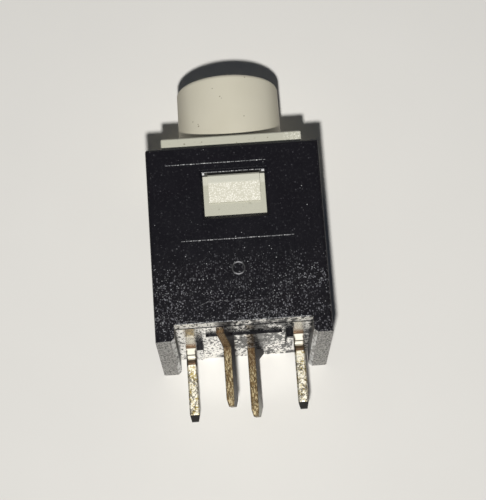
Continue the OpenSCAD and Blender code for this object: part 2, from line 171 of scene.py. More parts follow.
def buildScratches():  # short hair scratches, long along X and thin across Z
    look = effectLook
    tree, inputs, outputs = startGroup(
        "hairScratches", ("Vector", "Length", "Width", "Share"), ("Mask",))
    short = calc(tree, "DIVIDE", 1.0, inputs["Length"])
    tall = calc(tree, "DIVIDE", look["scratchSpread"], inputs["Width"])
    squeeze = addNode(tree, "CombineXYZ", {0: short, 1: 1.0, 2: tall})[0]
    wave = noise(tree, inputs["Vector"], look["scratchWave"])["Color"]
    shift = vectorCalc(tree, "ADD", inputs["Vector"], wave)
    thin = vectorCalc(tree, "MULTIPLY", shift, squeeze)
    cells = addNode(tree, "TexVoronoi", {"Vector": thin, "Scale": 1.0})
    off = vectorCalc(tree, "SUBTRACT", thin, cells["Position"])
    line = ramp(tree, calc(tree, "ABSOLUTE", axes(tree, off)["Z"]), *look["scratchLine"])
    chance = addNode(tree, "SeparateColor", {0: cells["Color"]})
    kept = calc(tree, "LESS_THAN", chance[0], inputs["Share"])
    tree.links.new(times(tree, line, kept), outputs["Mask"])
    return tree


def buildEdge():  # softened edges: a rounded normal, and a mask where the surface turns
    tree, inputs, outputs = startGroup("softEdge", ("Radius",), ("Mask", "Normal"))
    radius = times(tree, inputs["Radius"], mm)
    rounded = addNode(tree, "Bevel", {"Radius": radius}, samples=effectLook["edgeSamples"])[0]
    turn = vectorCalc(tree, "DOT_PRODUCT", rounded, addNode(tree, "NewGeometry")["Normal"])
    tree.links.new(ramp(tree, turn, *effectLook["edgeTurn"]), outputs["Mask"])
    tree.links.new(rounded, outputs["Normal"])
    return tree


def buildBand():  # 1 between two heights, with eased ends
    tree, inputs, outputs = startGroup("heightBand", ("Vector", "Low", "High", "Ease"), ("Mask",))
    height = axes(tree, inputs["Vector"])["Z"]
    over = calc(tree, "SUBTRACT", height, inputs["Low"])
    below = calc(tree, "SUBTRACT", inputs["High"], height)
    rise = calc(tree, "DIVIDE", over, inputs["Ease"], clamp=True)
    fall = calc(tree, "DIVIDE", below, inputs["Ease"], clamp=True)
    tree.links.new(times(tree, rise, fall), outputs["Mask"])
    return tree


def buildStains():  # irregular patches
    tree, inputs, outputs = startGroup("stainPatches", ("Vector", "Size", "Level", "Ease"), ("Mask",))
    scale = calc(tree, "DIVIDE", 1.0, inputs["Size"])
    cloud = noise(tree, inputs["Vector"], scale, detail=4.0, roughness=0.65)[0]
    over = calc(tree, "SUBTRACT", cloud, inputs["Level"])
    tree.links.new(calc(tree, "DIVIDE", over, inputs["Ease"], clamp=True), outputs["Mask"])
    return tree


def buildVeins():  # thin winding veins, as in worn plating
    tree, inputs, outputs = startGroup("wornVeins", ("Vector", "Size", "Width"), ("Mask",))
    scale = calc(tree, "DIVIDE", 1.0, inputs["Size"])
    cloud = noise(tree, inputs["Vector"], scale, detail=3.0, roughness=0.6)[0]
    away = calc(tree, "ABSOLUTE", calc(tree, "SUBTRACT", cloud, 0.5))
    vein = calc(tree, "SUBTRACT", 1.0, calc(tree, "DIVIDE", away, inputs["Width"]), clamp=True)
    tree.links.new(vein, outputs["Mask"])
    return tree


dustAndSheenLook = {
    # the dust's light colour stands partly for a painted reflection and glints
    "dust": (250, 248, 243),
    "dim": (84, 83, 82),
    "draw": (1.0, 0.4, 1.0),  # drawn out along the depth, since the undersides are seen at a low angle
    "darkStripReach": (0.3, 0.8),  # the darker strip's inner and outer half widths, mm
    "darkStripDust": 0.15,  # dust left in the strip
    "leftPlace": (-1.0, -1.8),  # more dust and painted reflection from here to here across, mm
    "leftSpots": 0.03,
    "leftPatches": 0.12,
    "spotLevel": (0.45, 0.5),
    "patchScale": 0.3,  # broad patches against the spots
    "patchLevel": (0.4, 0.52),
}


def buildUnderDustAndReflection():  # mottled dust, with painted reflection and glints, on the undersides; at one place across the dust thins to a darker strip, a painted dark reflection
    look = dustAndSheenLook
    tree, inputs, outputs = startGroup("underDustAndReflection", ("Vector", "Size", "Clean"), ("Mask", "Patch"))
    scale = calc(tree, "DIVIDE", 1.0, inputs["Size"])
    drawn = vectorCalc(tree, "MULTIPLY", inputs["Vector"], look["draw"])
    spots = noise(tree, drawn, scale, detail=4.0, roughness=0.65)[0]
    broad = noise(tree, drawn, times(tree, scale, look["patchScale"]), detail=3.0, roughness=0.6)[0]
    across = axes(tree, inputs["Vector"])["X"]
    away = calc(tree, "ABSOLUTE", calc(tree, "SUBTRACT", across, inputs["Clean"]))
    offDarkStrip = ramp(tree, away, *look["darkStripReach"], look["darkStripDust"], 1.0)
    left = ramp(tree, across, *look["leftPlace"])
    spots = calc(tree, "MULTIPLY_ADD", left, look["leftSpots"], spots)
    broad = calc(tree, "MULTIPLY_ADD", left, look["leftPatches"], broad)
    tree.links.new(times(tree, ramp(tree, spots, *look["spotLevel"]), offDarkStrip), outputs["Mask"])
    tree.links.new(ramp(tree, broad, *look["patchLevel"]), outputs["Patch"])
    return tree


grain = buildGrain()
specks = buildSpecks()
scratches = buildScratches()
softEdge = buildEdge()
heightBand = buildBand()
stains = buildStains()
veins = buildVeins()
underDustAndReflection = buildUnderDustAndReflection()
print("surface effects built")


# Materials

def startMaterial(name):
    material = bpy.data.materials.new(name)
    material.use_nodes = True
    tree = material.node_tree
    where = addNode(tree, "TexCoord")["Object"]
    place = addNode(tree, "VectorMath", {0: where, "Scale": 1 / mm}, operation="SCALE")["Vector"]
    return material, tree, tree.nodes["Principled BSDF"], place


def facing(tree, direction, low=0.6, high=0.8):  # 1 where a face points along the direction
    along = vectorCalc(tree, "DOT_PRODUCT", addNode(tree, "TexCoord")["Normal"], direction)
    return ramp(tree, along, low, high)


def facingBoth(tree, direction, low, high):  # the same for the direction and its mirror image across X
    x, y, z = direction
    return calc(tree, "MAXIMUM", facing(tree, direction, low, high), facing(tree, (-x, y, z), low, high))


def finishMaterial(tree, shader, colour, roughness, height, depth, edge=0.0):  # depth and edge in mm
    feed(tree, shader.inputs["Base Color"], colour)
    feed(tree, shader.inputs["Roughness"], roughness)
    bump = {"Height": height, "Distance": depth * mm, "Strength": 1.0}
    if edge:
        bump["Normal"] = useGroup(tree, softEdge, Radius=edge)["Normal"]
    tree.links.new(addNode(tree, "Bump", bump)[0], shader.inputs["Normal"])


housingLook = {
    "black": (13, 12, 18),
    "worn": (15, 14, 18),
    "specular": 0.09,
    "roughness": (0.3, 0.42),
    "roughCloud": (0.3, 0.7),
    "grain": 0.09,
    "relief": 0.01,  # depth of the grain, mm
    "edge": 0.05,
    "dustPlace": (7.4, 3.2),  # the dust and its painted glints start at the first height and are full at the second, mm
    "dustCloud": {"Size": 1.6, "Level": 0.36, "Ease": 0.3},
    "dustShare": (0.45, 1.0),
    "gritAndGlint": (120, 119, 123),
    "gritAndGlintSpecks": {"Spacing": 0.15, "Radius": 0.07},
    "gritAndGlintShare": (0.08, 0.78),  # above the dust, and in it
    "gritAndGlintStrength": (0.2, 1.0),
    "dot": (150, 150, 151),
    "dotStains": {"Size": 0.13, "Ease": 0.08},
    "dotLevel": (0.69, 0.57),
    "faintStains": {"Size": 0.2, "Level": 0.54, "Ease": 0.2},
    "faintStrength": 0.06,
    "glint": (214, 214, 213),
    "glintSpecks": {"Spacing": 0.14, "Radius": 0.042},
    "glintShare": (0.004, 0.154),
    "hair": (128, 127, 127),
    "hairLines": {"Length": 1.6, "Width": 0.035},
    "hairPlace": (3.2, 1.6),
    "hairShare": 0.09,
    "hairWear": {"Size": 0.2, "Level": 0.4, "Ease": 0.2},
    "stepShadow": {"Low": 3.1, "High": 3.18, "Ease": 0.03},  # painted shadow: the long dark line under a faint step, before it is made wavy
    "stepShadowWave": (0.0, 0.0, 0.25),
    "stepShadowWaveScale": 0.9,
    "stepShadowEnd": (4.0, 3.5),
    "downFacing": (0.45, 0.65),
    "wallBand": {"Low": 0.7, "High": 2.0, "Ease": 0.2},  # heights of the front wall's underside
    "wallDust": 0.2,  # size of the spots of dust and painted reflection, mm
    "wallRelief": 4.0,  # its grain is this many times deeper
    "wallSheen": 0.7,
    "darkReflectionWall": -1.3,  # painted dark reflection: the front wall's underside has less dust at this place across, mm
    # the legs' undersides: grey mottled dust, lightened as a painted reflection
    "underside": (50, 49, 47),
    "undersideDustAndSheen": (176, 173, 167),
    "undersideTop": (0.7, 0.5),  # the legs' undersides lie below this height, mm
    "undersideDraw": (1.0, 0.3, 1.0),
    "undersideStains": {"Size": 0.13, "Level": 0.38, "Ease": 0.22},
    "bevelHighlight": (226, 225, 222),  # painted highlight on the bevels at the legs' inner edges
    "bevelHighlightFacing": ((0.7, 0.0, -0.7), 0.92, 0.98),
    "bevelHighlightStains": {"Size": 0.25, "Level": 0.44, "Ease": 0.1},
    "bevelHighlightTop": (0.5, 0.3),
}


def makeHousingPlastic():
    look = housingLook
    material, tree, shader, place = startMaterial("housingPlastic")
    across = calc(tree, "ABSOLUTE", axes(tree, place)["X"])
    height = axes(tree, place)["Z"]
    fine = useGroup(tree, grain, Vector=place, Size=look["grain"])

    cloud = maskOf(tree, stains, place, look["dustCloud"])
    dust = times(tree, ramp(tree, height, *look["dustPlace"]), between(tree, cloud, *look["dustShare"]))
    colour = mixTones(tree, dust, look["black"], look["worn"])
    faint = maskOf(tree, stains, place, look["faintStains"])
    colour = lay(tree, colour, times(tree, faint, look["faintStrength"]), look["dot"])
    # specks of dust, and painted glints of the grain: the grit, the dots and the glints
    gritAndGlint = maskOf(tree, specks, place, look["gritAndGlintSpecks"], Share=between(tree, dust, *look["gritAndGlintShare"]))
    colour = lay(tree, colour, times(tree, gritAndGlint, between(tree, dust, *look["gritAndGlintStrength"])), look["gritAndGlint"])
    dots = maskOf(tree, stains, place, look["dotStains"], Level=between(tree, dust, *look["dotLevel"]))
    colour = lay(tree, colour, dots, look["dot"])
    glints = maskOf(tree, specks, place, look["glintSpecks"], Share=between(tree, dust, *look["glintShare"]))
    colour = lay(tree, colour, glints, look["glint"])

    # painted shadow: a dark wavy line across the lower front, as under a faint step
    wavy = noise(tree, place, look["stepShadowWaveScale"])["Color"]
    wavy = vectorCalc(tree, "MULTIPLY_ADD", wavy, look["stepShadowWave"], place)
    stepShadow = maskOf(tree, heightBand, wavy, look["stepShadow"])
    colour = lay(tree, colour, times(tree, stepShadow, ramp(tree, across, *look["stepShadowEnd"])), look["black"])
    share = times(tree, ramp(tree, height, *look["hairPlace"]), look["hairShare"])
    hairs = maskOf(tree, scratches, place, look["hairLines"], Share=share)
    worn = maskOf(tree, stains, place, look["hairWear"])
    colour = lay(tree, colour, times(tree, hairs, worn), look["hair"])

    # the front wall's underside: dust and painted reflection, as on the base
    down = facing(tree, downward, *look["downFacing"])
    wall = times(tree, down, maskOf(tree, heightBand, place, look["wallBand"]))
    spots = useGroup(tree, underDustAndReflection, Vector=place, Size=look["wallDust"], Clean=look["darkReflectionWall"])
    dustAndReflection = mixTones(tree, spots["Patch"], dustAndSheenLook["dim"], dustAndSheenLook["dust"])
    dustAndReflection = mixColours(tree, spots["Mask"], linear(look["black"]), dustAndReflection)
    colour = mixColours(tree, wall, colour, dustAndReflection)
    # the legs' undersides: grey mottled dust, lightened as a painted reflection
    drawn = vectorCalc(tree, "MULTIPLY", place, look["undersideDraw"])
    mottle = maskOf(tree, stains, drawn, look["undersideStains"])
    grey = mixTones(tree, mottle, look["underside"], look["undersideDustAndSheen"])
    under = times(tree, down, ramp(tree, height, *look["undersideTop"]))
    colour = mixColours(tree, under, colour, grey)
    # painted highlight along the bevels at the legs' inner edges, broken into patches
    legEdgeHighlight = facingBoth(tree, *look["bevelHighlightFacing"])
    legEdgeHighlight = times(tree, legEdgeHighlight, maskOf(tree, stains, drawn, look["bevelHighlightStains"]))
    legEdgeHighlight = times(tree, legEdgeHighlight, ramp(tree, height, *look["bevelHighlightTop"]))
    colour = lay(tree, colour, legEdgeHighlight, look["bevelHighlight"])

    shader.inputs["Specular IOR Level"].default_value = look["specular"]
    sheen = times(tree, wall, spots["Mask"], spots["Patch"], look["wallSheen"])
    tree.links.new(sheen, shader.inputs["Metallic"])
    bumps = calc(tree, "ADD", fine["Height"], calc(tree, "ADD", dots, glints))
    bumps = calc(tree, "ADD", bumps, times(tree, fine["Height"], wall, look["wallRelief"]))
    rough = ramp(tree, fine["Cloud"], *look["roughCloud"], *look["roughness"])
    finishMaterial(tree, shader, colour, rough, bumps, look["relief"], look["edge"])
    return material


baseLook = {
    "black": (17, 16, 19),
    "specular": 0.05,
    "roughness": 0.4,
    "grain": 0.1,
    "relief": 0.02,  # depth of the dust's grain, mm
    "cleanRelief": 0.1,  # share of it where there is no dust
    "edge": 0.03,
    "dust": 0.2,  # size of the spots of dust and painted reflection, mm
    "darkReflectionStrip": 0.9,  # painted dark reflection: the underside has less dust at this place across, mm
    "metal": 0.9,  # silvery bloom on the dustiest patches
    "coatIor": 1.9,
    "coatShare": (0.12, 1.0),  # on the dim patches, and on the bright ones
    "coatLeast": 0.06,
    "polish": 0.12,  # roughness of the coat
    "streakHalf": (0.4, 0.32),  # half width of the polished streak in front of each outer terminal, painted with the terminal's reflection, mm
    # painted reflection of the terminals' brown band
    "reflectedBrown": (74, 58, 34),
    "gold": (196, 170, 106),
    "reflectedBrownStains": {"Size": 0.2, "Level": 0.47, "Ease": 0.06},
    "reflectedBrownStart": (3.3, 3.8),  # painted reflection: the streak turns golden brown this far in front of its terminal, mm
}


def makeBasePlastic():
    look = baseLook
    material, tree, shader, place = startMaterial("basePlastic")
    along = axes(tree, place)
    fine = useGroup(tree, grain, Vector=place, Size=look["grain"])
    under = facing(tree, downward)
    spots = useGroup(tree, underDustAndReflection, Vector=place, Size=look["dust"], Clean=look["darkReflectionStrip"])
    # the underside's dust, whose light colour stands partly for a painted reflection and glints
    dustAndReflection = times(tree, spots["Mask"], under)
    dust = mixTones(tree, spots["Patch"], dustAndSheenLook["dim"], dustAndSheenLook["dust"])
    colour = mixColours(tree, dustAndReflection, linear(look["black"]), dust)

    # painted reflection of each outer terminal: a light streak that turns golden brown
    away = calc(tree, "SUBTRACT", calc(tree, "ABSOLUTE", along["X"]), tinLook["pinPlace"])
    reflectionStreak = times(tree, ramp(tree, calc(tree, "ABSOLUTE", away), *look["streakHalf"]), under)
    colour = lay(tree, colour, reflectionStreak, dustAndSheenLook["dust"])
    pinDepth = calc(tree, "DIVIDE", along["X"], -tinLook["pinPlace"] / tinLook["pinDepth"])
    reach = calc(tree, "SUBTRACT", pinDepth, along["Y"])
    reflectedBrown = mixTones(tree, maskOf(tree, stains, place, look["reflectedBrownStains"]), look["reflectedBrown"], look["gold"])
    colour = mixColours(tree, times(tree, reflectionStreak, ramp(tree, reach, *look["reflectedBrownStart"])), colour, reflectedBrown)

    shader.inputs["Specular IOR Level"].default_value = look["specular"]
    shader.inputs["Coat IOR"].default_value = look["coatIor"]
    shader.inputs["Coat Roughness"].default_value = look["polish"]
    shine = times(tree, dustAndReflection, ramp(tree, spots["Patch"], 0.0, 1.0, *look["coatShare"]))
    shine = calc(tree, "MAXIMUM", shine, times(tree, under, look["coatLeast"]))
    tree.links.new(shine, shader.inputs["Coat Weight"])
    metal = calc(tree, "MAXIMUM", reflectionStreak, times(tree, dustAndReflection, spots["Patch"]))
    tree.links.new(times(tree, metal, look["metal"]), shader.inputs["Metallic"])
    relief = times(tree, fine["Height"], ramp(tree, dustAndReflection, 0.0, 1.0, look["cleanRelief"], 1.0))
    rough = ramp(tree, under, 0.0, 1.0, look["roughness"], 2 * look["polish"])
    finishMaterial(tree, shader, colour, rough, relief, look["relief"], look["edge"])
    return material


def addDirt(tree, place, colour, spots, dirt, core=0.4, strength=0.8):
    along = axes(tree, place)
    flat = addNode(tree, "CombineXYZ", {0: along["X"], 1: 0.0, 2: along["Z"]})[0]
    front = calc(tree, "LESS_THAN", along["Y"], 0.0)
    for across, height, radius in spots:  # dark specks on the front only, in mm
        gap = vectorCalc(tree, "DISTANCE", flat, (across, 0.0, height))
        spot = times(tree, ramp(tree, gap, radius, radius * core), front)
        colour = lay(tree, colour, times(tree, spot, strength), dirt)
    return colour


plungerLook = {
    "cream": (190, 188, 170),
    "specular": 0.35,
    "roughness": 0.5,
    "grain": 0.12,
    "relief": 0.012,
    "edge": 0.04,
    "grime": (128, 124, 104),
    "grimeStains": {"Size": 0.45, "Level": 0.6, "Ease": 0.12},
    "grimeStrength": 0.35,
    "dirt": ((-3.27, 14.22, 0.09), (2.58, 14.32, 0.06), (-2.05, 14.3, 0.05), (0.4, 14.1, 0.05)),
    # painted highlight: the latch's flat face lighter, and its sloping face lighter where it faces the lamp,
    # with bright specks as painted glints
    "land": (206, 204, 188),
    "landBand": {"Low": 11.05, "High": 12.0, "Ease": 0.08},  # heights of the latch's flat face
    "ramp": (196, 192, 172),
    "rampBand": {"Low": 9.6, "High": 11.05, "Ease": 0.06},  # heights of the latch's sloping face
    "litRampFacing": ((0.0, -0.9, -0.42), 0.9, 0.97),
    "dot": (244, 240, 226),
    "dotSpecks": {"Spacing": 0.085, "Radius": 0.055, "Share": 0.75},
    "cornerAcross": (3.2, 4.4),  # the right end of the plate's front, lighter with the same bright specks
    "cornerDepth": (-4.3, -4.9),
}


def makePlungerPlastic():
    look = plungerLook
    material, tree, shader, place = startMaterial("plungerPlastic")
    along = axes(tree, place)
    fine = useGroup(tree, grain, Vector=place, Size=look["grain"])
    grime = times(tree, maskOf(tree, stains, place, look["grimeStains"]), look["grimeStrength"])
    colour = mixTones(tree, grime, look["cream"], look["grime"])
    # painted highlight on the latch's faces, with painted glints on its sloping face
    colour = lay(tree, colour, maskOf(tree, heightBand, place, look["landBand"]), look["land"])
    litSlope = maskOf(tree, heightBand, place, look["rampBand"])
    litSlope = times(tree, litSlope, facing(tree, *look["litRampFacing"]))
    colour = lay(tree, colour, litSlope, look["ramp"])
    dots = maskOf(tree, specks, place, look["dotSpecks"])
    colour = lay(tree, colour, times(tree, dots, litSlope), look["dot"])
    corner = ramp(tree, along["X"], *look["cornerAcross"])
    corner = times(tree, corner, ramp(tree, along["Y"], *look["cornerDepth"]), dots)
    colour = lay(tree, colour, corner, look["dot"])
    colour = addDirt(tree, place, colour, look["dirt"], look["grime"])
    shader.inputs["Specular IOR Level"].default_value = look["specular"]
    finishMaterial(tree, shader, colour, look["roughness"], fine["Height"], look["relief"], look["edge"])
    return material


capLook = {
    "cream": (212, 206, 187),
    "shade": (200, 194, 173),
    "specular": 0.12,
    "roughness": 0.5,
    "grain": 0.25,
    "relief": 0.006,
    "edge": 0.05,
    # painted shade: the cap's left and right faces darker
    "side": (172, 165, 145),
    "shadedSideFacing": ((1.0, 0.0, 0.0), 0.7, 1.0),
    "shadedSideStrength": 0.6,
    "speck": (120, 110, 88),
    "dotSpecks": {"Spacing": 1.1, "Radius": 0.07, "Share": 0.2},
    "dotStrength": 0.7,
    "dirt": ((-0.56, 18.06, 0.06), (-0.45, 17.92, 0.04), (-2.21, 16.15, 0.07), (-2.24, 16.3, 0.05),
             (-2.6, 16.63, 0.05), (1.07, 16.51, 0.06), (-1.06, 18.74, 0.05)),
}


def makeCapPlastic():
    look = capLook
    material, tree, shader, place = startMaterial("capPlastic")
    fine = useGroup(tree, grain, Vector=place, Size=look["grain"])
    colour = mixTones(tree, fine["Cloud"], look["shade"], look["cream"])
    # painted shade on the cap's left and right faces
    shadedSides = times(tree, facingBoth(tree, *look["shadedSideFacing"]), look["shadedSideStrength"])
    colour = lay(tree, colour, shadedSides, look["side"])
    dots = times(tree, maskOf(tree, specks, place, look["dotSpecks"]), look["dotStrength"])
    colour = lay(tree, colour, dots, look["speck"])
    colour = addDirt(tree, place, colour, look["dirt"], look["speck"])
    shader.inputs["Specular IOR Level"].default_value = look["specular"]
    finishMaterial(tree, shader, colour, look["roughness"], fine["Height"], look["relief"], look["edge"])
    return material


tinLook = {
    "pinPlace": 3.81,  # the outer terminals stand this far across, mm
    "pinDepth": 1.27,  # and this far behind or in front of the middle, mm
    "tin": (204, 200, 186),
    "metal": 0.6,
    "roughness": (0.38, 0.5),
    "roughCloud": (0.3, 0.7),
    "grain": 0.07,
    "relief": 0.01,
    "edge": 0.02,
    "gold": (146, 130, 72),
    "goldStains": {"Size": 0.13, "Level": 0.48, "Ease": 0.05},
    "goldPatches": {"Size": 0.5, "Level": 0.4, "Ease": 0.14},
    "goldTop": (0.1, -0.3),
    "dark": (40, 30, 18),
    "darkVeins": {"Size": 0.38, "Width": 0.06},
    "veinTop": (-0.2, -1.2),
    "stain": (70, 50, 28),
    "stainBand": {"Low": -0.34, "High": 0.12, "Ease": 0.05},  # the brown band under the kink
    "kinkShadeLine": {"Low": 0.4, "High": 0.49, "Ease": 0.02},  # painted shade: the dark line across the kink, where its face turns from the light
    "rootHeight": (0.86, 0.9),
    # painted shade: the terminals' edges darkened, where they turn from the light
    "rim": (70, 62, 46),
    "rimWidth": 0.12,
    "rimStrength": 0.85,
    "kinkBand": {"Low": -0.5, "High": 0.86, "Ease": 0.15},
    "kinkShade": (0.22, 0.33),  # the kink's bright faces darken from here to here, mm from their middle
    "kinkWave": (-0.1, 0.1),
    "kinkWaveScale": 4.0,
    "tip": (34, 32, 30),
    "tipHeight": (-3.9, -3.94),
    "tipRoughness": 0.5,  # added at the tip
}


def makeTin():
    look = tinLook
    material, tree, shader, place = startMaterial("tinPlate")
    height = axes(tree, place)["Z"]
    fine = useGroup(tree, grain, Vector=place, Size=look["grain"])
    patch = maskOf(tree, stains, place, look["goldPatches"])
    gold = maskOf(tree, stains, place, look["goldStains"])
    gold = times(tree, gold, patch, ramp(tree, height, *look["goldTop"]))
    colour = mixTones(tree, gold, look["tin"], look["gold"])
    dark = maskOf(tree, veins, place, look["darkVeins"])
    colour = lay(tree, colour, times(tree, dark, ramp(tree, height, *look["veinTop"])), look["dark"])
    colour = lay(tree, colour, maskOf(tree, heightBand, place, look["kinkShadeLine"]), look["dark"])
    band = maskOf(tree, heightBand, place, look["stainBand"])
    root = ramp(tree, height, *look["rootHeight"])
    colour = lay(tree, colour, calc(tree, "MAXIMUM", band, root), look["stain"])
    # painted shade along the edges
    rim = times(tree, useGroup(tree, softEdge, Radius=look["rimWidth"])["Mask"], look["rimStrength"])
    colour = lay(tree, colour, rim, look["rim"])

    away = calc(tree, "SUBTRACT", calc(tree, "ABSOLUTE", axes(tree, place)["X"]), look["pinPlace"])
    wave = between(tree, noise(tree, place, look["kinkWaveScale"])[0], *look["kinkWave"])
    away = calc(tree, "ADD", calc(tree, "ABSOLUTE", away), wave)
    kink = maskOf(tree, heightBand, place, look["kinkBand"])
    colour = lay(tree, colour, times(tree, kink, ramp(tree, away, *look["kinkShade"])), look["dark"])

    tip = ramp(tree, height, *look["tipHeight"])
    colour = lay(tree, colour, tip, look["tip"])
    metal = times(tree, calc(tree, "SUBTRACT", 1.0, tip), look["metal"])
    tree.links.new(metal, shader.inputs["Metallic"])
    rough = ramp(tree, fine["Cloud"], *look["roughCloud"], *look["roughness"])
    rough = calc(tree, "MULTIPLY_ADD", tip, look["tipRoughness"], rough)
    finishMaterial(tree, shader, colour, rough, fine["Height"], look["relief"], look["edge"])
    return material


stripLook = {
    "planeTurn": 18.8,  # the inner terminals' plane, turned from the body's sides, degrees
    "flankFacing": (0.6, 0.8),
    "metal": 0.5,
    "roughness": 0.42,
    "grain": 0.08,
    "relief": 0.012,
    "edge": 0.03,
    "dark": (30, 25, 29),  # the flat faces, with a painted reflection: dark at the root and plated towards the tip
    "plating": (160, 158, 150),
    "dullPlating": (92, 90, 88),
    "reflectionDepth": (-1.0, 1.0),  # painted reflection: dull on the near terminal and brighter on the far one
    "reflectionHeight": (-1.6, -4.0),
    "brass": (118, 95, 58),  # the sheared edges
    "bright": (208, 192, 152),
    "streak": (1.0, 1.0, 0.3),
    "brightStains": {"Size": 0.08, "Level": 0.49, "Ease": 0.09},
    "stain": (40, 27, 16),
    "stainVeins": {"Size": 0.13, "Width": 0.055},
    "stainStrength": 0.9,
    "root": (84, 54, 28),
    "rootHeight": (-0.9, 0.2),
    "rootStrength": 0.6,
    # painted shade: the terminals' edges darkened, where they turn from the light
    "rim": (24, 18, 14),
    "rimWidth": 0.2,
    "rimStrength": 0.85,
}


def makeShearedStrip():
    look = stripLook
    material, tree, shader, place = startMaterial("shearedStrip")
    height = axes(tree, place)["Z"]
    fine = useGroup(tree, grain, Vector=place, Size=look["grain"])
    streak = vectorCalc(tree, "MULTIPLY", place, look["streak"])
    bright = maskOf(tree, stains, streak, look["brightStains"])
    brown = mixTones(tree, bright, look["brass"], look["bright"])
    dark = times(tree, maskOf(tree, veins, streak, look["stainVeins"]), look["stainStrength"])
    brown = lay(tree, brown, dark, look["stain"])
    root = times(tree, ramp(tree, height, *look["rootHeight"]), look["rootStrength"])
    brown = lay(tree, brown, root, look["root"])
    # painted shade along the edges
    rim = times(tree, useGroup(tree, softEdge, Radius=look["rimWidth"])["Mask"], look["rimStrength"])
    brown = lay(tree, brown, rim, look["rim"])

    # painted reflection on the flat faces, by depth and by height
    depth = ramp(tree, axes(tree, place)["Y"], *look["reflectionDepth"])
    plating = mixTones(tree, depth, look["dullPlating"], look["plating"])
    plate = mixColours(tree, ramp(tree, height, *look["reflectionHeight"]), linear(look["dark"]), plating)
    turn = math.radians(look["planeTurn"])
    side = (math.cos(turn), -math.sin(turn), 0.0)
    along = vectorCalc(tree, "DOT_PRODUCT", addNode(tree, "TexCoord")["Normal"], side)
    flank = ramp(tree, calc(tree, "ABSOLUTE", along), *look["flankFacing"])
    shader.inputs["Metallic"].default_value = look["metal"]
    finishMaterial(tree, shader, mixColours(tree, flank, brown, plate), look["roughness"], fine["Height"],
                   look["relief"], look["edge"])
    return material


silverLook = {
    "tone": (226, 224, 218),
    "tarnish": (150, 140, 120),
    "roughness": 0.3,
}

springLook = {
    "tone": (196, 198, 202),
    "tarnish": (130, 126, 120),
    "roughness": 0.25,
}

brightLook = {  # shared by the silver and the spring steel
    "tarnishStains": {"Size": 0.4, "Level": 0.55, "Ease": 0.15},
    "tarnishStrength": 0.5,
    "grain": 0.12,
    "relief": 0.004,
    "edge": 0.03,
}


def makeBrightMetal(name, metal):
    look = brightLook
    material, tree, shader, place = startMaterial(name)
    fine = useGroup(tree, grain, Vector=place, Size=look["grain"])
    tarnish = times(tree, maskOf(tree, stains, place, look["tarnishStains"]), look["tarnishStrength"])
    colour = mixTones(tree, tarnish, metal["tone"], metal["tarnish"])
    shader.inputs["Metallic"].default_value = 1.0
    finishMaterial(tree, shader, colour, metal["roughness"], fine["Height"], look["relief"], look["edge"])
    return material


naturalLook = {
    "shade": (214, 211, 198),
    "light": (232, 229, 217),
    "roughness": 0.4,
    "glow": 0.1,  # light that goes through the plastic
    "glowReach": 0.4,
    "grain": 0.2,
    "relief": 0.006,
    "edge": 0.05,
}


def makeNaturalPlastic():
    look = naturalLook
    material, tree, shader, place = startMaterial("naturalPlastic")
    fine = useGroup(tree, grain, Vector=place, Size=look["grain"])
    colour = mixTones(tree, fine["Cloud"], look["shade"], look["light"])
    shader.inputs["Subsurface Weight"].default_value = look["glow"]
    shader.inputs["Subsurface Scale"].default_value = look["glowReach"] * mm
    finishMaterial(tree, shader, colour, look["roughness"], fine["Height"], look["relief"], look["edge"])
    return material


finishes = {
    "housing_plastic": makeHousingPlastic(),
    "base_plastic": makeBasePlastic(),
    "plunger_plastic": makePlungerPlastic(),
    "cap_plastic": makeCapPlastic(),
    "tinned_strip": makeTin(),
    "sheared_strip": makeShearedStrip(),
    "contact_silver": makeBrightMetal("contactSilver", silverLook),
    "spring_steel": makeBrightMetal("springSteel", springLook),
    "natural_plastic": makeNaturalPlastic(),
}
slotOf = {part["node"]: part["material_slot"] for part in frame["record"]["subparts"]}
for name, part in nodes.items():
    for slot in part.material_slots:
        slot.material = finishes[slotOf[name]]
print("finishes on", len(slotOf), "nodes")


# Fine moulded lines and the plain ring mark on the front, with painted highlights

frontLook = {
    "front": -6.0,  # the housing's front face, mm
    "flashLine": (12.36, -4.65, 2.25),  # height, left end and right end, mm
    "fieldLine": (6.87, -3.86, 3.88),
    "windowLine": (11.69, -2.2, 2.15),
    "footLine": (1.14, -4.6, 4.6),
    "lineTall": 0.06,
    "lineProud": 0.02,
    "lineBevel": 0.006,
    "lineJitter": 0.008,  # up or down, mm
    "thinnest": 0.6,  # of the full height
    "shortest": 0.12,
    "longest": 0.4,
    "shortestGap": 0.03,
    "longestGap": 0.07,
    "cornerGlint": ((-2.08, 11.58, 0.15, 0.16), (2.04, 11.6, 0.2, 0.12)),  # painted glints at the window's top corners: across, height, width, tall; mm
    "cornerBevel": 0.012,
    "ringPlace": (-0.09, 4.78),
    "ringRadius": 0.42,
    "ringWire": 0.11,
    "ringDepth": -5.98,  # of the wire's middle, mm
    "ringSteps": 40,
    "wireSteps": 10,
    "ringHighlight": (0.22, 0.42),  # painted highlight: the ring is lighter this far above and below its middle, mm
    "ringGrey": (40, 40, 42),
    "ringHighlightTone": (120, 119, 120),
    # the raised lines' light grey is a painted highlight, lighter in patches
    "grey": (112, 112, 113),
    "light": (214, 213, 210),
    "shine": (240, 239, 235),
    "brightStains": {"Size": 0.3, "Level": 0.5, "Ease": 0.12},
    "roughness": 0.4,
    "grain": 0.08,
    "relief": 0.01,
}


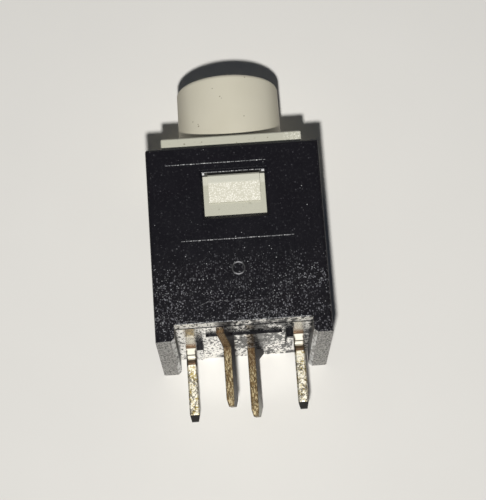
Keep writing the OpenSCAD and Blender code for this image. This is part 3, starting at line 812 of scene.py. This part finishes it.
def makeHighlightFinish(name, grey, light, ring=False):
    look = frontLook
    material, tree, shader, place = startMaterial(name)
    fine = useGroup(tree, grain, Vector=place, Size=look["grain"])
    if ring:
        off = calc(tree, "SUBTRACT", axes(tree, place)["Z"], look["ringPlace"][1])
        bright = ramp(tree, calc(tree, "ABSOLUTE", off), *look["ringHighlight"])
    else:
        bright = maskOf(tree, stains, place, look["brightStains"])
    colour = mixTones(tree, bright, grey, light)
    finishMaterial(tree, shader, colour, look["roughness"], fine["Height"], look["relief"])
    return material


def addPiece(name, mesh, finish, body):
    bmesh.ops.recalc_face_normals(mesh, faces=mesh.faces)
    data = bpy.data.meshes.new(name)
    mesh.to_mesh(data)
    mesh.free()
    piece = bpy.data.objects.new(name, data)
    bpy.context.scene.collection.objects.link(piece)
    data.materials.append(finish)
    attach(piece, body)


def addBar(mesh, middle, size, bevel, segments):  # a box with bevelled edges
    place = Matrix.Translation(middle) @ Matrix.Diagonal((*size, 1.0))
    bar = bmesh.ops.create_cube(mesh, size=1.0, matrix=place)
    edges = list(dict.fromkeys(edge for vert in bar["verts"] for edge in vert.link_edges))
    bmesh.ops.bevel(mesh, geom=edges, offset=bevel * mm, affect="EDGES", segments=segments,
                    profile=0.5, material=-1)


def makeBrokenLine(name, line, finish, seed):
    look = frontLook
    height, start, end = line
    chance = random.Random(seed)
    mesh = bmesh.new()
    while start < end:
        stop = min(end, start + chance.uniform(look["shortest"], look["longest"]))
        rise = chance.uniform(-look["lineJitter"], look["lineJitter"])
        middle = Vector(((start + stop) / 2, look["front"], height + rise)) * mm
        tall = look["lineTall"] * chance.uniform(look["thinnest"], 1.0)
        addBar(mesh, middle, Vector((stop - start, 2 * look["lineProud"], tall)) * mm, look["lineBevel"], 1)
        start = stop + chance.uniform(look["shortestGap"], look["longestGap"])
    addPiece(name, mesh, finish, "housing_body")


def makeCornerGlint(finish):
    look = frontLook
    mesh = bmesh.new()
    for across, height, width, tall in look["cornerGlint"]:
        middle = Vector((across, look["front"], height)) * mm
        addBar(mesh, middle, Vector((width, 2 * look["lineProud"], tall)) * mm, look["cornerBevel"], 2)
    addPiece("cornerGlint", mesh, finish, "housing_body")


def makeRingMark(finish):
    look = frontLook
    across, height = look["ringPlace"]
    middle = Vector((across, look["ringDepth"], height)) * mm
    wirePlace = Vector((across + look["ringRadius"], look["ringDepth"], height)) * mm
    mesh = bmesh.new()
    bmesh.ops.create_circle(mesh, segments=look["wireSteps"], radius=look["ringWire"] / 2 * mm,
                            matrix=Matrix.Translation(wirePlace))
    bmesh.ops.spin(mesh, geom=mesh.verts[:] + mesh.edges[:], cent=middle, axis=(0.0, 1.0, 0.0),
                   angle=math.tau, steps=look["ringSteps"], use_merge=True)
    addPiece("ringMark", mesh, finish, "housing_body")


lineHighlightFinish = makeHighlightFinish("lineHighlight", frontLook["grey"], frontLook["light"])
ringFinish = makeHighlightFinish("ringPlastic", frontLook["ringGrey"], frontLook["ringHighlightTone"], ring=True)
glintFinish = makeHighlightFinish("glintPaint", frontLook["light"], frontLook["shine"])
makeBrokenLine("flashLine", frontLook["flashLine"], lineHighlightFinish, 4)
makeBrokenLine("fieldLine", frontLook["fieldLine"], lineHighlightFinish, 9)
makeBrokenLine("windowLine", frontLook["windowLine"], lineHighlightFinish, 2)
makeBrokenLine("footLine", frontLook["footLine"], lineHighlightFinish, 6)
makeCornerGlint(glintFinish)
makeRingMark(ringFinish)
print("front lines and ring mark made")


# Paper behind the switch, which lies on its back

paperLook = {
    "colour": (223, 220, 213),
    "side": 900.0,
    "place": 6.02,  # mm, just behind the housing's back
    "dim": 0.97,  # of the colour, where the paper is darkest
    "cloudScale": 0.15,
    "glow": (231, 228, 221),  # light thrown on it by the underside
    "glowReach": (7.0, 3.2),  # mm, across and down
    "glowEase": (1.0, 0.35),
}


def makePaper():
    look = paperLook
    upright = Matrix.Rotation(math.radians(90), 4, "X")
    mesh = bmesh.new()
    bmesh.ops.create_grid(mesh, x_segments=1, y_segments=1, size=look["side"] / 2 * mm,
                          matrix=Matrix.Translation((0, look["place"] * mm, 0)) @ upright)
    data = bpy.data.meshes.new("paper")
    mesh.to_mesh(data)
    mesh.free()
    paper = bpy.data.objects.new("paper", data)
    bpy.context.scene.collection.objects.link(paper)

    material, tree, shader, place = startMaterial("paper")
    cloud = noise(tree, place, look["cloudScale"], detail=3.0)[0]
    tone = linear(look["colour"])
    dim = (*(part * look["dim"] for part in tone[:3]), 1.0)
    across, down = look["glowReach"]
    drawn = vectorCalc(tree, "MULTIPLY", place, (1 / across, 0.0, 1 / down))
    glow = ramp(tree, vectorCalc(tree, "LENGTH", drawn), *look["glowEase"])
    colour = lay(tree, mixColours(tree, cloud, dim, tone), glow, look["glow"])
    feed(tree, shader.inputs["Base Color"], colour)
    shader.inputs["Roughness"].default_value = 1.0
    shader.inputs["Specular IOR Level"].default_value = 0.0
    behind = addNode(tree, "NewGeometry")["Backfacing"]  # the paper is clear from behind and casts no shadow
    shadow = addNode(tree, "LightPath")["Is Shadow Ray"]
    clear = addNode(tree, "BsdfTransparent")[0]
    hidden = calc(tree, "MAXIMUM", behind, shadow)
    through = addNode(tree, "MixShader", {0: hidden, 1: shader.outputs[0], 2: clear})[0]
    tree.links.new(through, tree.nodes["Material Output"].inputs["Surface"])
    data.materials.append(material)


makePaper()
print("paper laid")


# Light and camera

lightRig = {
    "aim": (0.0, 0.0, 7.0),  # places and sizes in mm
    "keyPlace": (-2.8, -97.0, -28.7),
    "keySize": 3.0,
    "keyLevel": 0.112,
    "backPlace": (0.0, 260.0, 8.0),
    "backSize": 160.0,
    "backLevel": 0.3,
    "ambient": 0.055,
    "surround": (223, 220, 213),  # seen directly and in reflections
    "skylight": (186, 206, 244),  # the colour of the ambient light
}


def addLamp(name, place, size, level):
    lamp = bpy.data.lights.new(name, "AREA")
    lamp.shape = "DISK"
    lamp.size = size * mm
    lamp.energy = level
    lamp.use_nodes = True
    tree = lamp.node_tree
    ray = (Vector(lightRig["aim"]) - Vector(place)) * mm
    even = addNode(tree, "LightFalloff", {"Strength": 1 / ray.length ** 2})
    tree.links.new(even["Constant"], tree.nodes["Emission"].inputs["Strength"])
    holder = bpy.data.objects.new(name, lamp)
    holder.location = Vector(place) * mm
    holder.rotation_euler = ray.to_track_quat("-Z", "Y").to_euler()
    bpy.context.scene.collection.objects.link(holder)


def makeLight():
    rig = lightRig
    addLamp("keyLamp", rig["keyPlace"], rig["keySize"], rig["keyLevel"])
    addLamp("backLamp", rig["backPlace"], rig["backSize"], rig["backLevel"])
    world = bpy.data.worlds.new("surround")
    world.use_nodes = True
    tree = world.node_tree
    seen = addNode(tree, "LightPath")
    direct = calc(tree, "MAXIMUM", seen["Is Camera Ray"], seen["Is Glossy Ray"])
    direct = calc(tree, "MAXIMUM", direct, seen["Is Transmission Ray"])
    backdrop = tree.nodes["Background"].inputs
    tree.links.new(mixTones(tree, direct, rig["skylight"], rig["surround"]), backdrop["Color"])
    tree.links.new(ramp(tree, direct, 0.0, 1.0, rig["ambient"], 1.0), backdrop["Strength"])
    bpy.context.scene.world = world


cameraView = {
    "place": (-1.03, -112.89, -22.71),  # mm
    "turn": (105.07, 3.887, 0.334),  # degrees
    "lens": 120.54,
    "sensor": 36.0,
    "clip": (1.0, 10000.0),  # mm
}


def makeCamera():
    view = cameraView
    near, far = view["clip"]
    camera = bpy.data.cameras.new("camera")
    camera.sensor_fit = "HORIZONTAL"
    camera.sensor_width = view["sensor"]
    camera.lens = view["lens"]
    camera.clip_start = near * mm
    camera.clip_end = far * mm
    holder = bpy.data.objects.new("camera", camera)
    holder.location = Vector(view["place"]) * mm
    holder.rotation_euler = [math.radians(angle) for angle in view["turn"]]
    bpy.context.scene.collection.objects.link(holder)
    bpy.context.scene.camera = holder


makeLight()
makeCamera()
bpy.context.scene.view_settings.view_transform = "Standard"
print("light and camera set")
